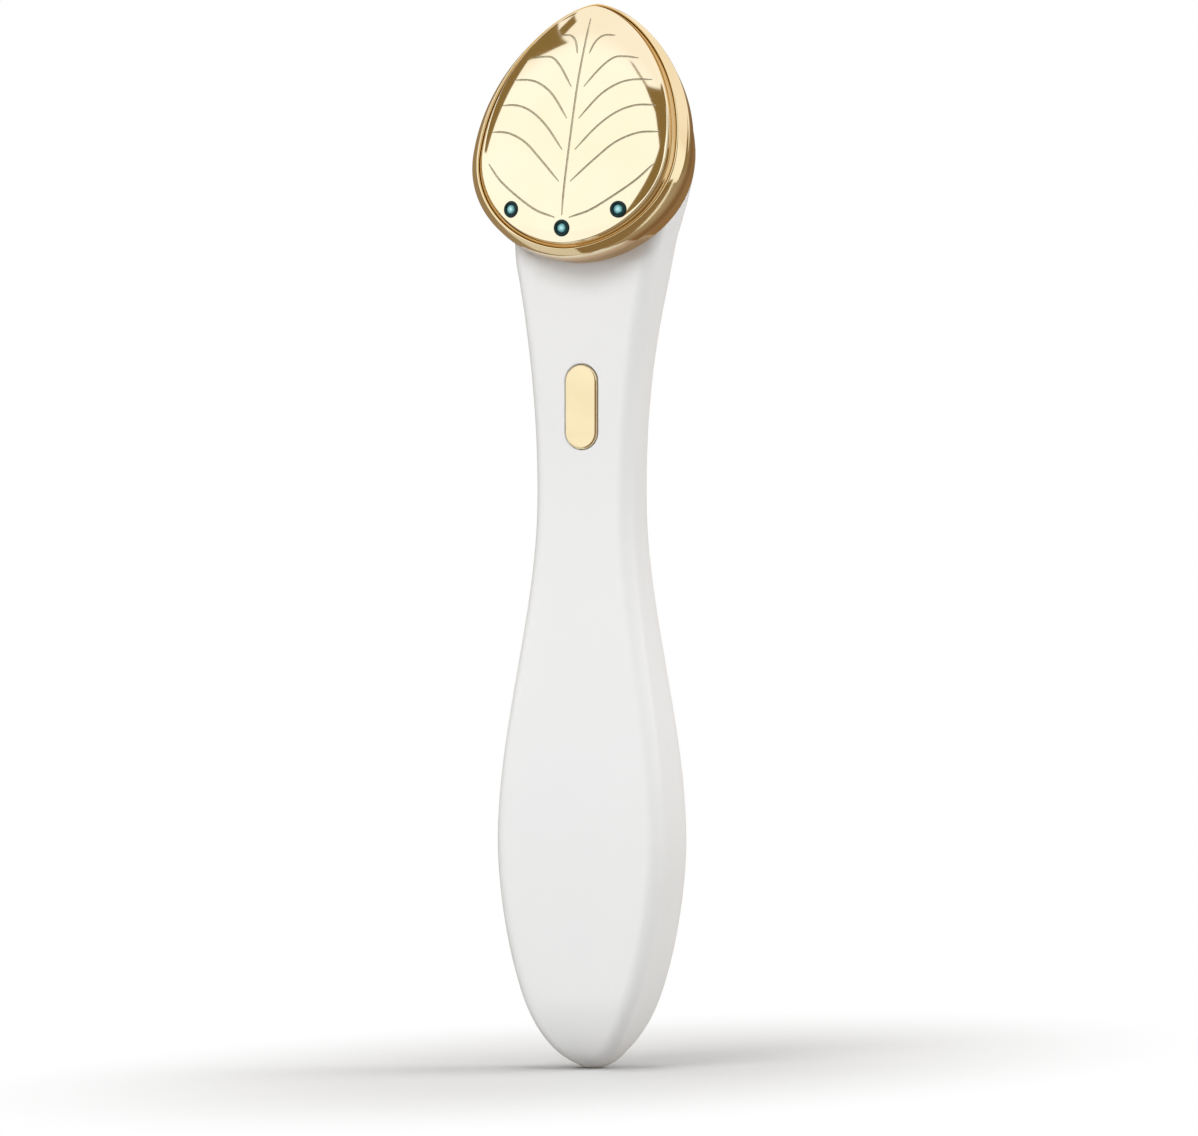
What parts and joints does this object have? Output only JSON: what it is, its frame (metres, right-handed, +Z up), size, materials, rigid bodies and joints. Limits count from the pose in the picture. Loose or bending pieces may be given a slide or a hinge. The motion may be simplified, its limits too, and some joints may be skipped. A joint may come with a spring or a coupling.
{
  "type": "heated eye massager wand",
  "caption": "Slim waisted white handle with a tilted leaf-shaped gold head that warms and vibrates, a gold power button on the front and a charging port at the back.",
  "frame": {"origin": "centre of the bounding box's base; the wand stands upright on the tip of its handle", "axes": "+Z up along the handle towards the head, -Y out of the front with the button and the face, +X to the right when the front is seen"},
  "size_m": [0.0348, 0.0232, 0.1601],
  "materials": {
    "white_shell": "smooth satin-gloss moulded plastic",
    "gold_plated": "mirror-bright gold plating on moulded plastic",
    "gold_plate": "mirror-bright gold, a thin heated metal plate",
    "black_ring": "dark glossy ring round each light",
    "light_lens": "pale teal translucent lens",
    "circuit_board": "green solder resist",
    "black_part": "moulded electronic part",
    "board_part": "coil, capacitors and socket",
    "steel": "zinc-plated steel",
    "bright_shell": "plain drawn metal",
    "cell_foil": "foil-wrapped lithium cell",
    "foam": "soft closed foam pad",
    "white_part": "plain moulded end cap",
    "sleeve": "soft black rubber",
    "weight": "turned metal",
    "emitter": "small light-emitting diode with pale phosphor",
    "film": "amber heating film",
    "insulator": "grey heat-resistant sheet",
    "red_wire": "red wire insulation",
    "blue_wire": "blue wire insulation",
    "white_wire": "white wire insulation",
    "green_wire": "green wire insulation"
  },
  "bodies": {
    "handle": {"front_housing": "white_shell", "back_cover": "white_shell", "switch_body": "black_part", "main_board": "circuit_board", "control_chip": "black_part", "board_parts": "board_part", "board_screws": "steel", "battery_cell": "cell_foil", "battery_foam": "foam", "protection_board": "circuit_board", "charge_board": "circuit_board", "port_shell": "bright_shell", "port_tongue": "black_part", "motor_can": "bright_shell", "motor_cap": "white_part", "motor_sleeve": "sleeve", "head_ring": "gold_plated", "head_collar": "gold_plated", "face_plate": "gold_plate", "led_bezels": "black_ring", "led_lenses": "light_lens", "led_board": "circuit_board", "led_emitters": "emitter", "heater_film": "film", "thermistor": "black_part", "head_insulator": "insulator", "head_screws": "steel", "battery_leads": "red_wire", "charge_leads": "red_wire", "motor_leads": "blue_wire", "heater_leads": "white_wire", "light_leads": "green_wire"},
    "button": {"power_button": "gold_plated"},
    "plunger": {"switch_plunger": "black_part"},
    "rotor": {"motor_weight": "weight"}
  },
  "joints": [
    {"name": "button_press", "type": "slide", "parent": "handle", "child": "button", "axis": [0, 1, 0], "range_m": [0, 0.00035], "stiffness_N_per_m": 1500},
    {"name": "plunger_press", "type": "slide", "parent": "handle", "child": "plunger", "axis": [0, 1, 0], "range_m": [0, 0.00035]},
    {"name": "rotor_spin", "type": "hinge", "parent": "handle", "child": "rotor", "pos_m": [0, 0.0031, 0.1136], "axis": [0, 0, 1], "continuous": true}
  ],
  "couplings": [
    {"joint": "plunger_press", "follows": "button_press", "ratio": 1}
  ]
}
